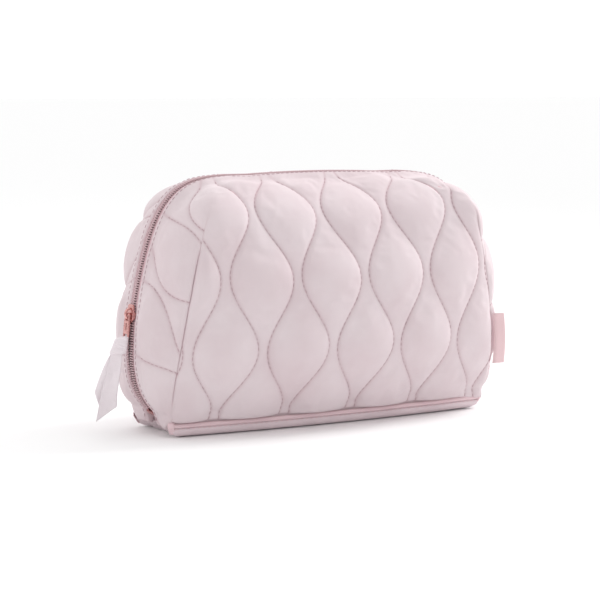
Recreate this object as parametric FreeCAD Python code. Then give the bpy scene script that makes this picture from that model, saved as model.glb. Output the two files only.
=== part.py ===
import FreeCAD, Part

# Quilted makeup bag, 24 x 11 x 15 cm, in millimetres.
# +Z is up, +X runs along the bag, -Y is the front. The origin is the middle of the base, on the table.
# Two padded halves, front and back, stand on a padded base. A coil zip in the plane Y = 0 joins them:
# it climbs the left side, crosses the top and comes down the right side. Each half is one quilted
# piece that wraps round its two corners, where a dart seam climbs from the base and fades out.
import math
import os

V = FreeCAD.Vector

# ---- driving dimensions ----
HEIGHT = 150.0            # top of the closed mouth
HALF_LENGTH = 121.0       # widest point of the mouth outline
HALF_DEPTH = 54.0         # deepest point of the belly
PANEL_FOOT_Z = 8.5        # lower edge of both padded halves
MOUTH_GAP = 5.0           # from the plane Y = 0 to each half's edge
SIDE_FLATNESS = 0.6       # how far a side runs straight across before it curves to the dart
OUTER_T = 0.9             # layer thicknesses of the quilted sandwich
WADDING_T = 3.2
LINING_T = 0.7

# Control points of the three curves that shape a half. They all climb from the base seam to the zip.
MOUTH_CURVE = [(104, PANEL_FOOT_Z), (136, 33), (121, 65), (111, 110), (113, 148), (84, 147.5), (60, 149)]
CORNER_CURVE = [(108, 25, PANEL_FOOT_Z), (116, 40, 27), (106, 44, 60), (100, 43, 100), (96, 47, 144),
                (86, 43, 150.5), (44, MOUTH_GAP, 148.9)]
BELLY_CURVE = [(31, PANEL_FOOT_Z), (56, 30), (63, 64), (57, 98), (42, 134), (24, 150.5), (MOUTH_GAP, HEIGHT)]
CLIMB = len(MOUTH_CURVE) - 1          # degree of the three curves

# Base: a shallow padded tray inside the piped seam.
BASE_CORNER = (108.0, 25.0)
BASE_FRONT_Y = 31.0                   # the long edges bow out to here
BASE_SIDE_X = 104.0                   # the short edges dip in to here
BASE_CORNER_CUT = 3.2
BASE_RIM_Z = 5.6
BASE_SKIN_T = 1.0
BASE_LINING_Z = 4.8
BASE_LINING_GAP = 0.5
PIPING_Z = (BASE_RIM_Z + 0.1, PANEL_FOOT_Z - 0.15)
PIPING_T = 2.6
BINDING_T = 2.0
BINDING_INSET = 7.0
BAND_CHAMFER = 0.7
TAB_T = 0.7
TAB_WIDTH = 3.4
TAB_PROFILE = [(0.6, 8.2), (0.6, 5.3), (-2.2, 2.2)]      # (out from the rounded corner, height)

# Zip. Depths are measured in from the outer face of the panels.
TAPE_DEPTH = (1.2, 1.8)
TAPE_Y = (3.15, MOUTH_GAP)
COIL_DEPTH = (0.2, 2.4)
COIL_Y = (0.15, 3.1)
SLIDER_Z = 70.0                       # height of the slider on the left side
STOP_LENGTH = 3.0
STOP_Z = 12.5
STOP_GROW = 0.25                      # how far a stop stands proud of its coil

# Slider and pull.
SLIDER_LENGTH = 11.0
SLIDER_HALF_WIDTH = 4.6
SLIDER_PLATE_T = 1.2
SLIDER_CLEARANCE = 0.3
SLIDER_LIP_T = 0.6
SLIDER_LIP_DROP = 0.55
# Right half of a slider plate: (share of the half width, share of the half length), from the top down.
PLATE_OUTLINE = [(0.72, 1.0), (1.0, 0.35), (1.0, -0.55), (0.3, -1.0)]
LIP_SPAN = (-0.5, 0.3)                # shares of the half length
POST_SIZE = (1.6, 2.8)
POST_FOOT = -0.85                     # share of the half length
CROWN_HALF_SPAN = 3.6
CROWN_WIDTH = 2.4
CROWN_BAR_T = 1.1
CROWN_OPENING = 2.0
CROWN_POLE_REACH = 1.35               # the arch's control points stand this much further out than it does
PULL_LEAN = 6.0                       # degrees that the pull hangs out from the vertical
PULL_BAR_R = 0.6
PULL_WIDTH = 6.0
PULL_ARM_T = 1.2
PULL_ARM_LENGTH = 4.7
PULL_LENGTH = 16.0
PULL_T = 1.3
PULL_GROOVE = (1.2, 9.4, 1.2)         # wide, down to, and gap under the arms
PULL_SLOT = (4.0, 12.0, 14.6)         # wide, and from and to along the pull

# Ribbon, folded in two and tied round the pull's end. Its outlines are (across, height), and it hangs
# in an upright plane through RIBBON_X, turned from the front by RIBBON_TURN degrees.
RIBBON_X = -128.0
RIBBON_TURN = -30.0
RIBBON_T = 0.8
KNOT_T = 4.0
KNOT_OUTLINE = [(-1.7, 57.2), (5.5, 57.2), (4.0, 47.5), (-5.2, 47.5)]
LONG_TAIL = [(-4.6, 46.2), (2.6, 46.2), (-0.6, 27.7), (-1.5, 16.8), (-13.6, 8.0), (-11.7, 15.7), (-8.9, 32.0)]
SHORT_TAIL = [(-5.1, 46.2), (0.0, 46.2), (-5.0, 25.0), (-11.8, 17.2), (-14.4, 25.2)]
TAIL_OFFSET = 0.9                     # from the ribbon's plane to either tail

# Folded tag in the right front dart seam.
TAG_Z = (29.5, 62.0)
TAG_STICK_OUT = 6.0
TAG_T = 0.9
TAG_CLEARANCE = 0.6
TAG_FOOT_REACH = 1.15                 # the tag's foot sticks out this much further than its top
TAG_LEAN = -0.1                       # the tag points forward by this much for each mm outwards
TAG_STEPS = 200


# ---- curves and layers ----
def inset(point, depth):
    """A point of the outer shape, moved in by a layer depth towards the bag's core."""
    x, y, z = point
    return (x * (1 - depth / HALF_LENGTH),
            MOUTH_GAP + (y - MOUTH_GAP) * (1 - depth / (HALF_DEPTH - MOUTH_GAP)),
            PANEL_FOOT_Z + (z - PANEL_FOOT_Z) * (1 - depth / (HEIGHT - PANEL_FOOT_Z)))


def control_rows(depth):
    """Mouth, corner and belly control points at a layer depth, as (x, y, z) with y counted outwards."""
    mouth = [inset((x, MOUTH_GAP, z), depth) for x, z in MOUTH_CURVE]
    corner = [inset(point, depth) for point in CORNER_CURVE]
    belly = [inset((0.0, y, z), depth) for y, z in BELLY_CURVE]
    return mouth, corner, belly


def side_poles(depth, side):
    """Net of the patch from the mouth to the dart seam. side is -1 on the left and 1 on the right."""
    mouth, corner, _ = control_rows(depth)
    rows = []
    for m, c in zip(mouth, corner):
        bend = (m[0], m[1] + (c[1] - m[1]) * SIDE_FLATNESS, (m[2] + c[2]) / 2)
        rows.append([V(side * p[0], -p[1], p[2]) for p in (m, bend, c)])
    return rows


def front_poles(depth):
    """Net of the patch between the two dart seams, bowed out to the belly curve in the middle."""
    _, corner, belly = control_rows(depth)
    rows = []
    for c, b in zip(corner, belly):
        middle = V(0, -(2 * b[1] - c[1]), 2 * b[2] - c[2])
        rows.append([V(-c[0], -c[1], c[2]), middle, V(c[0], -c[1], c[2])])
    return rows


def patch(rows):
    """Bezier face on a net of control points."""
    surface = Part.BezierSurface()
    surface.increase(CLIMB, len(rows[0]) - 1)
    for i, row in enumerate(rows, 1):
        for j, pole in enumerate(row, 1):
            surface.setPole(i, j, pole)
    return surface.toShape()


def bezier_edge(poles):
    curve = Part.BezierCurve()
    curve.setPoles(poles)
    return curve.toShape()


def patches(depth):
    """The three nets that make one layer face of the front half, from left to right."""
    right = [row[::-1] for row in side_poles(depth, 1)]
    return [side_poles(depth, -1), front_poles(depth), right]


def rim_edges(depth, row):
    """Edges of a layer face along the base seam (row 0) or along the top of the mouth (row -1)."""
    return [bezier_edge(net[row]) for net in patches(depth)]


def mouth_edges(depth):
    """Edges of a layer face round the mouth, from the left foot over the top to the right foot."""
    left = bezier_edge([row[0] for row in side_poles(depth, -1)])
    right = bezier_edge([row[0] for row in side_poles(depth, 1)])
    return [left] + rim_edges(depth, -1) + [right]


def foot_point(depth, side):
    return side_poles(depth, side)[0][0]


def rim_face(outer_edges, inner_edges, outer_depth, inner_depth):
    """Flat face between the edges of two layer faces."""
    joins = [Part.makeLine(foot_point(outer_depth, s), foot_point(inner_depth, s)) for s in (-1, 1)]
    edges = Part.sortEdges(outer_edges + inner_edges + joins)[0]
    return Part.Face(Part.Wire(edges))


def layer(outer_depth, inner_depth):
    """One closed layer of the front half, between two depths."""
    faces = [patch(net) for depth in (outer_depth, inner_depth) for net in patches(depth)]
    faces.append(rim_face(mouth_edges(outer_depth), mouth_edges(inner_depth), outer_depth, inner_depth))
    faces.append(rim_face(rim_edges(outer_depth, 0), rim_edges(inner_depth, 0), outer_depth, inner_depth))
    shell = Part.makeShell(faces)
    shell.sewShape()
    return outward(Part.makeSolid(shell))


def outward(solid):
    if solid.Volume < 0:
        solid.reverse()
    return solid


def to_back(shape):
    """Mirror image of a front piece."""
    return shape.mirror(V(0, 0, 0), V(0, 1, 0))


# ---- zip ----
def mouth_band(depths, y_range):
    """Closed strip that follows the mouth, between two depths and two distances from Y = 0."""
    outer, inner = depths
    face = rim_face(mouth_edges(outer), mouth_edges(inner), outer, inner)
    face.translate(V(0, MOUTH_GAP - y_range[1], 0))
    return face.extrude(V(0, y_range[1] - y_range[0], 0))


def mouth_point(height, depth):
    """Point and upward direction of the left side's mouth curve at a height."""
    curve = Part.BezierCurve()
    curve.setPoles([row[0] for row in side_poles(depth, -1)])
    low, high = 0.0, 0.9
    for _ in range(40):
        middle = (low + high) / 2
        if curve.value(middle).z < height:
            low = middle
        else:
            high = middle
    point = curve.value(low)
    direction = curve.tangent(low)[0]
    return V(point.x, 0, point.z), direction


def zip_frame(height, depth):
    """Placement on the left side: local X points out of the bag, local Z up along the zip."""
    point, up = mouth_point(height, depth)
    out = up.cross(V(0, 1, 0)) * -1
    if out.x > 0:
        out = out * -1
    across = up.cross(out)
    turn = FreeCAD.Rotation(out, across, up, "ZXY")
    return FreeCAD.Placement(point, turn)


def box(x_range, y_range, z_range):
    size = [r[1] - r[0] for r in (x_range, y_range, z_range)]
    return Part.makeBox(size[0], size[1], size[2], V(x_range[0], y_range[0], z_range[0]))


def placed(shape, placement):
    moved = shape.copy()
    moved.Placement = placement.multiply(moved.Placement)
    return moved


def zip_stop(side, y_range):
    """Metal clip pinched round the coil at its foot, on the left (-1) or right (1) side.

    y_range runs towards the front, as the zip frame's across axis does on the left.
    """
    half_t = (COIL_DEPTH[1] - COIL_DEPTH[0]) / 2 + STOP_GROW
    clip = box((-half_t, half_t), y_range, (-STOP_LENGTH / 2, STOP_LENGTH / 2))
    clip = placed(clip, zip_frame(STOP_Z, sum(COIL_DEPTH) / 2))
    return clip if side < 0 else clip.mirror(V(0, 0, 0), V(1, 0, 0))


# ---- slider ----
COIL_MIDDLE = sum(COIL_DEPTH) / 2
COIL_HALF_T = (COIL_DEPTH[1] - COIL_DEPTH[0]) / 2
PLATE_X = COIL_HALF_T + SLIDER_CLEARANCE            # inner face of either slider plate
CROWN_FOOT_X = PLATE_X + SLIDER_PLATE_T             # outer face of the outer plate
PIVOT_X = CROWN_FOOT_X + CROWN_OPENING / 2          # the pull turns about this line


def slider_plate(x_low):
    """Plate with a narrow top and wide shoulders, which end in a blunt point below."""
    half = [(across * SLIDER_HALF_WIDTH, up * SLIDER_LENGTH / 2) for across, up in PLATE_OUTLINE]
    outline = half + [(-y, z) for y, z in reversed(half)]
    points = [V(x_low, y, z) for y, z in outline]
    return Part.Face(Part.makePolygon(points + points[:1])).extrude(V(SLIDER_PLATE_T, 0, 0))


def slider_body_shape():
    plates = [slider_plate(PLATE_X), slider_plate(-PLATE_X - SLIDER_PLATE_T)]
    h = SLIDER_LENGTH / 2
    lips = []
    for side in (-1, 1):
        edge = sorted((side * SLIDER_HALF_WIDTH, side * (SLIDER_HALF_WIDTH - SLIDER_LIP_T)))
        for x_range in ((PLATE_X - SLIDER_LIP_DROP, PLATE_X), (-PLATE_X, -PLATE_X + SLIDER_LIP_DROP)):
            lips.append(box(x_range, edge, (h * LIP_SPAN[0], h * LIP_SPAN[1])))
    post = box((-PLATE_X, PLATE_X), (-POST_SIZE[0] / 2, POST_SIZE[0] / 2),
               (h * POST_FOOT, h * POST_FOOT + POST_SIZE[1]))
    body = plates[0]
    for piece in plates[1:] + lips + [post]:
        body = body.fuse(piece)
    return body.removeSplitter()


def arch(half_span, rise):
    """Half of an ellipse-like arch in local XZ, as an edge from foot to foot."""
    foot = CROWN_FOOT_X
    top = foot + rise * CROWN_POLE_REACH
    poles = [V(foot, 0, -half_span), V(top, 0, -half_span), V(top, 0, half_span), V(foot, 0, half_span)]
    return bezier_edge(poles)


def slider_crown_shape():
    outer = arch(CROWN_HALF_SPAN, CROWN_OPENING + CROWN_BAR_T)
    inner = arch(CROWN_HALF_SPAN - CROWN_BAR_T, CROWN_OPENING)
    foot = CROWN_FOOT_X
    joins = [Part.makeLine(V(foot, 0, s * CROWN_HALF_SPAN), V(foot, 0, s * (CROWN_HALF_SPAN - CROWN_BAR_T)))
             for s in (-1, 1)]
    face = Part.Face(Part.Wire(Part.sortEdges([outer, inner] + joins)[0]))
    face.translate(V(0, -CROWN_WIDTH / 2, 0))
    return face.extrude(V(0, CROWN_WIDTH, 0))


def pull_shape():
    """Pull that hangs along -Z from a cross bar at the origin, with arms, a blade and a ribbon slot."""
    half = PULL_WIDTH / 2
    bar = Part.makeCylinder(PULL_BAR_R, PULL_WIDTH, V(0, -half, 0), V(0, 1, 0))
    arm = PULL_ARM_T
    thick = (-PULL_BAR_R, PULL_BAR_R)
    blade_x = (-PULL_T / 2, PULL_T / 2)
    arms = [box(thick, (-half, -half + arm), (-PULL_ARM_LENGTH, 0)),
            box(thick, (half - arm, half), (-PULL_ARM_LENGTH, 0))]
    blade = box(blade_x, (-half, half), (-PULL_LENGTH, -PULL_ARM_LENGTH))
    wide, down_to, gap = PULL_GROOVE
    groove = box(blade_x, (-wide / 2, wide / 2), (-down_to, -PULL_ARM_LENGTH - gap))
    wide, low_from, low_to = PULL_SLOT
    slot = box(blade_x, (-wide / 2, wide / 2), (-low_to, -low_from))
    pull = bar
    for piece in arms + [blade]:
        pull = pull.fuse(piece)
    return pull.cut(groove).cut(slot).removeSplitter()


# ---- base ----
def base_loop(shrink, z):
    """Closed outline of the base, drawn in by shrink: bowed long edges, hollow short edges."""
    cx, cy = BASE_CORNER[0] - shrink, BASE_CORNER[1] - shrink
    front, side, cut = BASE_FRONT_Y - shrink, BASE_SIDE_X - shrink, BASE_CORNER_CUT
    edges = []
    for sx, sy in ((-1, -1), (1, -1), (1, 1), (-1, 1)):
        corner = V(sx * cx, sy * cy, z)
        on_long = V(sx * (cx - cut), sy * cy - sy * (cy - front) * 2 * cut / cx, z)
        on_short = V(sx * cx - sx * (cx - side) * 2 * cut / cy, sy * (cy - cut), z)
        edges.append(bezier_edge([on_long, corner, on_short]))
        if sx * sy > 0:
            far = V(-on_long.x, on_long.y, z)
            edges.append(Part.Arc(on_long, V(0, sy * front, z), far).toShape())
        else:
            far = V(on_short.x, -on_short.y, z)
            edges.append(Part.Arc(on_short, V(sx * side, 0, z), far).toShape())
    return Part.Wire(Part.sortEdges(edges)[0])


def tray(sections):
    """Solid through base outlines, given as (shrink, height)."""
    return Part.makeLoft([base_loop(shrink, z) for shrink, z in sections], True, True)


def loop_band(shrink, z_range, thickness, chamfer):
    """Cord-like band that follows the base outline, with its outer edges eased."""
    low, high = z_range
    outer = tray([(shrink + chamfer, low), (shrink, low + chamfer), (shrink, high - chamfer),
                  (shrink + chamfer, high)])
    return outer.cut(tray([(shrink + thickness, low - 1), (shrink + thickness, high + 1)]))


BASE_OUTER_SECTIONS = [(9.0, 0.0), (5.0, 0.7), (2.0, 2.4), (0.6, BASE_RIM_Z)]


def tray_room():
    """Space inside the base's outer fabric, up to its rim."""
    inner = [(shrink + BASE_SKIN_T, z + BASE_SKIN_T) for shrink, z in BASE_OUTER_SECTIONS[:-1]]
    return tray(inner + [(BASE_OUTER_SECTIONS[-1][0] + BASE_SKIN_T, BASE_RIM_Z + 0.01)])


def corner_tab(sx, sy):
    """Bound end of a dart seam, folded over the base rim at a corner."""
    inner = [V(out, -TAB_WIDTH / 2, z) for out, z in TAB_PROFILE]
    outer = [point + V(TAB_T, 0, 0) for point in reversed(inner)]
    tab = Part.Face(Part.makePolygon(inner + outer + inner[:1])).extrude(V(0, TAB_WIDTH, 0))
    tab.rotate(V(0, 0, 0), V(0, 0, 1), math.degrees(math.atan2(sy, sx)))
    ease = BASE_CORNER_CUT / 4
    tab.translate(V(sx * (BASE_CORNER[0] - ease), sy * (BASE_CORNER[1] - ease), 0))
    return tab


# ---- ribbon and tag ----
def ribbon_piece(outline, offset, thickness):
    """Flat piece of the ribbon, centred at an offset from the ribbon's plane."""
    points = [V(across, offset - thickness / 2, z) for across, z in outline]
    piece = Part.Face(Part.makePolygon(points + points[:1])).extrude(V(0, thickness, 0))
    piece.rotate(V(0, 0, 0), V(0, 0, 1), RIBBON_TURN)
    piece.translate(V(RIBBON_X, 0, 0))
    return piece


def side_tag_shape():
    """Folded tag that stands out of the right front dart seam, just clear of the panel."""
    _, corner, _ = control_rows(0.0)
    seam = Part.BezierCurve()
    seam.setPoles([V(x, -y, z) for x, y, z in corner])
    out = V(1, TAG_LEAN, 0).normalize()
    sample = [seam.value(i / TAG_STEPS) for i in range(TAG_STEPS)]
    low, middle, high = (min(sample, key=lambda p: abs(p.z - z)) for z in (TAG_Z[0], sum(TAG_Z) / 2, TAG_Z[1]))
    root = Part.Arc(low, middle, high).toShape().translated(out * TAG_CLEARANCE)
    tip = Part.makeLine(low + out * TAG_STICK_OUT * TAG_FOOT_REACH, high + out * TAG_STICK_OUT)
    normal = out.cross(high - low).normalize()
    return outward(Part.makeRuledSurface(root, tip).extrude(normal * TAG_T))


# ---- assembly ----
def padded_halves():
    """Outer fabric, wadding and lining of the front half and the back half."""
    nodes = {}
    depths = [0.0, OUTER_T, OUTER_T + WADDING_T, OUTER_T + WADDING_T + LINING_T]
    for name, outer, inner in zip(("panel", "wadding", "lining"), depths, depths[1:]):
        nodes["front_" + name] = layer(outer, inner)
        nodes["back_" + name] = to_back(nodes["front_" + name])
    return nodes


def base_pieces():
    nodes = {}
    room = tray_room()
    nodes["base_outer"] = tray(BASE_OUTER_SECTIONS).cut(room)
    nodes["base_wadding"] = room.common(box((-HALF_LENGTH, HALF_LENGTH), (-HALF_DEPTH, HALF_DEPTH),
                                            (0, BASE_LINING_Z)))
    edge = BASE_OUTER_SECTIONS[-1][0] + BASE_SKIN_T + BASE_LINING_GAP
    nodes["base_lining"] = tray([(edge, BASE_LINING_Z), (edge, BASE_RIM_Z)])
    nodes["base_piping"] = loop_band(-0.2, PIPING_Z, PIPING_T, BAND_CHAMFER)
    nodes["base_binding"] = loop_band(BINDING_INSET, PIPING_Z, BINDING_T, BAND_CHAMFER)
    for x_word, sx in (("left", -1), ("right", 1)):
        for y_word, sy in (("front", -1), ("back", 1)):
            nodes["corner_tab_%s_%s" % (y_word, x_word)] = corner_tab(sx, sy)
    return nodes


def zip_pieces(at):
    """Tapes, coils and stops. The coils part round the slider's post."""
    width, length = POST_SIZE[0] / 2 + SLIDER_CLEARANCE, SLIDER_LENGTH / 2
    foot = length * POST_FOOT
    post_room = box((-COIL_HALF_T - 1, COIL_HALF_T + 1), (-width, width),
                    (foot - SLIDER_CLEARANCE, foot + POST_SIZE[1] + SLIDER_CLEARANCE))
    stops = {"zip_stop_foot_front": zip_stop(-1, COIL_Y),
             "zip_stop_foot_back": zip_stop(-1, (-COIL_Y[1], -COIL_Y[0])),
             "zip_stop_far": zip_stop(1, (-COIL_Y[1], COIL_Y[1]))}
    coil = mouth_band(COIL_DEPTH, COIL_Y).cut(placed(post_room, at))
    for stop in stops.values():
        coil = coil.cut(stop)
    tape = mouth_band(TAPE_DEPTH, TAPE_Y)
    nodes = {"zip_tape_front": tape, "zip_tape_back": to_back(tape)}
    nodes.update({"zip_coil_front": coil, "zip_coil_back": to_back(coil)})
    nodes.update(stops)
    return nodes


def slider_pieces(at):
    pull = pull_shape()
    pull.rotate(V(0, 0, 0), V(0, 1, 0), PULL_LEAN)
    pull.translate(at.multVec(V(PIVOT_X, 0, 0)))
    nodes = {"slider_body": placed(slider_body_shape(), at), "slider_crown": placed(slider_crown_shape(), at)}
    nodes["zip_pull"] = pull
    nodes["ribbon_knot"] = ribbon_piece(KNOT_OUTLINE, 0.0, KNOT_T).cut(pull)
    nodes["ribbon_tail_long"] = ribbon_piece(LONG_TAIL, -TAIL_OFFSET, RIBBON_T)
    nodes["ribbon_tail_short"] = ribbon_piece(SHORT_TAIL, TAIL_OFFSET, RIBBON_T)
    return nodes


def build():
    at = zip_frame(SLIDER_Z, COIL_MIDDLE)
    nodes = padded_halves()
    nodes.update(base_pieces())
    nodes.update(zip_pieces(at))
    nodes.update(slider_pieces(at))
    nodes["side_tag"] = side_tag_shape()
    return nodes


def export(nodes):
    os.makedirs("parts", exist_ok=True)
    for name, shape in nodes.items():
        print(name, "valid" if shape.isValid() else "NOT VALID", len(shape.Solids), "solid(s)")
        shape.exportStep("parts/%s.step" % name)


export(build())
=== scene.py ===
import math

import bmesh
import bpy
import numpy as np
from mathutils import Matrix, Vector
from mathutils.kdtree import KDTree


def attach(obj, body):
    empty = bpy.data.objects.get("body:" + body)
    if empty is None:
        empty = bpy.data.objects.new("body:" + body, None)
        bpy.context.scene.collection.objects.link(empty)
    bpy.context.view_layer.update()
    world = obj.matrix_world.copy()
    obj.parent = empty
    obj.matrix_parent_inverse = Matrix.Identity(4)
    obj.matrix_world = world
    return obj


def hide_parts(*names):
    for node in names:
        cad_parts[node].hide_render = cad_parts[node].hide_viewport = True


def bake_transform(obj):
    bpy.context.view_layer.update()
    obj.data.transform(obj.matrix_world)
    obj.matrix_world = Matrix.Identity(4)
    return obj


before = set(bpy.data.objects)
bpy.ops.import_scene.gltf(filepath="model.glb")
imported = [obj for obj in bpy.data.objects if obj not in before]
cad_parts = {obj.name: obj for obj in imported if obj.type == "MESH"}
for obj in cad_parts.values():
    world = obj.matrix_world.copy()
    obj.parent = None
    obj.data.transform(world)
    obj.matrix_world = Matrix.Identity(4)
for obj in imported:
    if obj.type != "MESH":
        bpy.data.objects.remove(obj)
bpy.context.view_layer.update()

MM = 0.001

# ---- shape, as in the CAD ----
HEIGHT = 150.0
HALF_LENGTH = 121.0
HALF_DEPTH = 54.0
FOOT_Z = 8.5
MOUTH_GAP = 5.0
SIDE_FLATNESS = 0.6
LINING_DEPTH = 4.8
MOUTH_CURVE = [(104, FOOT_Z), (136, 33), (121, 65), (111, 110), (113, 148), (84, 147.5), (60, 149)]
CORNER_CURVE = [(108, 25, FOOT_Z), (116, 40, 27), (106, 44, 60), (100, 43, 100), (96, 47, 144),
                (86, 43, 150.5), (44, MOUTH_GAP, 148.9)]
BELLY_CURVE = [(31, FOOT_Z), (56, 30), (63, 64), (57, 98), (42, 134), (24, 150.5), (MOUTH_GAP, HEIGHT)]
SLIDER_Z = 70.0
COIL_DEPTH = 1.3

# ---- quilting ----
LINE_PITCH = 22.38        # from one wave line to the next
LINE_SHIFT = -93.29       # where line 0 runs on average, from the middle of the front
WAVE_SWING = 8.3          # a line swings this far to either side
HALF_WAVE = 41.41         # from one neck to the next, along a line
NECK_H = 89.45            # height of one row of necks, along the belly
DART_TURN = math.radians(56)
DART_TOP_Z = 129.0
PUFF_SLOPE = 0.112        # puff height over cell width
WIDEST_CELL = 42.0        # cells wider than this puff up no further
DOME_POWER = 0.56         # below 1 makes a puff rounder than a parabola
GROOVE_SINK = 0.9
SETTLE = 1.7              # the whole quilt sits this far inside the plain shape, so that its puffs reach it
TOP_SETTLE = 2.6          # and this much more beside the zip over the top, which leaves the zip on a ridge
SIDE_HANG = 5.0           # the foot of each end hangs down over the base
END_SWING = 2.2           # and swings this far outward
RIGHT_LOBE = 36           # and so do this many columns at the right of the front
LOBE_SHARE = 0.6          # though only by this share
MOUTH_ROLL = ((0.9, -0.35), (1.9, -0.1), (LINING_DEPTH, 0.2))    # depth, and shift from the zip, of each ring
FOOT_ROLL = ((1.0, 0.0), (2.5, 0.0), (LINING_DEPTH, 0.0))

# ---- grid of a half ----
ROWS = 234
SIDE_COLS = 60
FRONT_COLS = 270
COARSE = 3                # every third row and column goes into the cloth simulation
CLOTH_FRAMES = 20


def smoothstep(x):
    x = np.clip(x, 0.0, 1.0)
    return x * x * (3 - 2 * x)


def unit(v):
    return v / np.maximum(np.linalg.norm(v, axis=-1, keepdims=True), 1e-9)


def bezier(points, t):
    """Points of a Bezier curve at the parameters t."""
    n = len(points) - 1
    weights = np.stack([math.comb(n, i) * t ** i * (1 - t) ** (n - i) for i in range(n + 1)], -1)
    return weights @ np.array(points, float)


def distances_along(points):
    """Distance of each point of a polyline from its start."""
    return np.concatenate([[0], np.cumsum(np.linalg.norm(np.diff(points, axis=0), axis=1))])


def resample(points, count):
    """count points evenly spaced along a polyline."""
    along = distances_along(points)
    wanted = np.linspace(0, along[-1], count)
    return np.stack([np.interp(wanted, along, points[:, k]) for k in range(points.shape[1])], -1)


def inset(point, depth):
    """A point of the outer shape, moved in by a layer depth towards the bag's core."""
    x, y, z = point
    return (x * (1 - depth / HALF_LENGTH),
            MOUTH_GAP + (y - MOUTH_GAP) * (1 - depth / (HALF_DEPTH - MOUTH_GAP)),
            FOOT_Z + (z - FOOT_Z) * (1 - depth / (HEIGHT - FOOT_Z)))


def control_rows(depth):
    mouth = [inset((x, MOUTH_GAP, z), depth) for x, z in MOUTH_CURVE]
    corner = [inset(point, depth) for point in CORNER_CURVE]
    belly = [inset((0.0, y, z), depth) for y, z in BELLY_CURVE]
    return mouth, corner, belly


def climb_steps(count):
    """Curve parameters that are evenly spaced along the belly, and their distances from the foot."""
    t = np.linspace(0, 1, 800)
    along = distances_along(bezier(control_rows(0.0)[2], t))
    wanted = np.linspace(0, along[-1], count)
    return np.interp(wanted, along, t), wanted


def half_surface(depth, steps, side_cols, front_cols):
    """Grid of the front half at a depth: rows climb, columns run from the left mouth edge to the right."""
    mouth, corner, belly = (bezier(points, steps)[:, None, :] for points in control_rows(depth))
    bend_y = mouth[..., 1:2] + (corner[..., 1:2] - mouth[..., 1:2]) * SIDE_FLATNESS
    bend = np.concatenate([mouth[..., :1], bend_y, (mouth[..., 2:] + corner[..., 2:]) / 2], -1)
    t = np.linspace(0, 1, side_cols + 1)[None, :, None]
    side = (1 - t) ** 2 * mouth + 2 * t * (1 - t) * bend + t ** 2 * corner
    left = side * [-1, -1, 1]
    right = side[:, ::-1] * [1, -1, 1]
    w = np.linspace(0, 1, front_cols + 1)[None, :, None]
    middle = (2 * belly - corner) * [0, -1, 1]
    front = (1 - w) ** 2 * (corner * [-1, -1, 1]) + 2 * w * (1 - w) * middle + w ** 2 * (corner * [1, -1, 1])
    return np.concatenate([left, front[:, 1:-1], right], 1)


def mouth_loop(grid):
    """The edge of a half's grid that runs along the zip, from the left foot over the top to the right one."""
    return np.concatenate([grid[:, 0], grid[-1, 1:-1], grid[::-1, -1]])


def blur(field, times, axes=(0, 1)):
    for _ in range(times):
        for axis in axes:
            padded = np.concatenate([field.take([0], axis), field, field.take([-1], axis)], axis)
            n = field.shape[axis]
            field = (padded.take(range(0, n), axis) + 2 * padded.take(range(1, n + 1), axis)
                     + padded.take(range(2, n + 2), axis)) / 4
    return field


def grid_normals(points):
    """Outward normals of a grid whose rows climb and whose columns run left to right on the front.

    Each is weighted by its cell's area and blurred, since the cells shrink to nothing at two corners.
    """
    across = np.gradient(points, axis=1)
    up = np.gradient(points, axis=0)
    return unit(blur(np.cross(across, up), 3))


# ---- meshes ----
def grid_faces(rows, cols, wrap=False, closed=False, start=0):
    """Faces between a grid's points. wrap joins the last column to the first, and closed the last row."""
    index = start + np.arange(rows * cols).reshape(rows, cols)
    if closed:
        index = np.vstack([index, index[:1]])
    if wrap:
        index = np.hstack([index, index[:, :1]])
    return np.stack([index[:-1, :-1], index[:-1, 1:], index[1:, 1:], index[1:, :-1]], -1).reshape(-1, 4)


def tube_faces(rows, cols):
    """Faces of a tube of rings, with a cap at each end."""
    faces = grid_faces(rows, cols, wrap=True).tolist()
    return faces + [list(range(cols))[::-1], list(range((rows - 1) * cols, rows * cols))]


def make_object(name, points, faces, material, slot, thickness=0.0, subdivisions=0):
    """Mesh object from points in millimetres."""
    places = (np.asarray(points, float).reshape(-1, 3) * MM).tolist()
    mesh = bpy.data.meshes.new(name)
    mesh.from_pydata(places, [], [list(map(int, face)) for face in faces])
    mesh.validate()
    obj = bpy.data.objects.new(name, mesh)
    bpy.context.scene.collection.objects.link(obj)
    mesh.materials.append(material)
    if thickness:
        solid = obj.modifiers.new("thickness", "SOLIDIFY")
        solid.thickness = thickness * MM
        solid.offset = 0.0
    if subdivisions:
        smooth = obj.modifiers.new("smooth", "SUBSURF")
        smooth.levels = smooth.render_levels = subdivisions
    if obj.modifiers:
        bpy.context.view_layer.update()
        final = bpy.data.meshes.new_from_object(obj.evaluated_get(bpy.context.evaluated_depsgraph_get()))
        obj.modifiers.clear()
        obj.data = final
        final.name = name
    obj.data.polygons.foreach_set("use_smooth", np.ones(len(obj.data.polygons), bool))
    return obj


def vertex_values(obj, name, values):
    """Stores a number at each vertex, which a material reads by name."""
    attribute = obj.data.attributes.new(name, "FLOAT", "POINT")
    attribute.data.foreach_set("value", np.asarray(values, np.float32))


def loop_tangents(path):
    return unit(np.roll(path, -1, 0) - np.roll(path, 1, 0))


def mirror_y(points):
    return np.asarray(points, float) * [1, -1, 1]


def capsule(length, radius, sides=6):
    """Points and faces of a thread-like capsule along local X, with its ends rounded."""
    half = length / 2
    stations = [(-half, 0.25), (-half * 0.82, 0.8), (0.0, 1.0), (half * 0.82, 0.8), (half, 0.25)]
    angles = np.arange(sides) * 2 * math.pi / sides
    points = [(x, radius * k * math.cos(a), radius * k * math.sin(a)) for x, k in stations for a in angles]
    return np.array(points), tube_faces(len(stations), sides)


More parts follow.
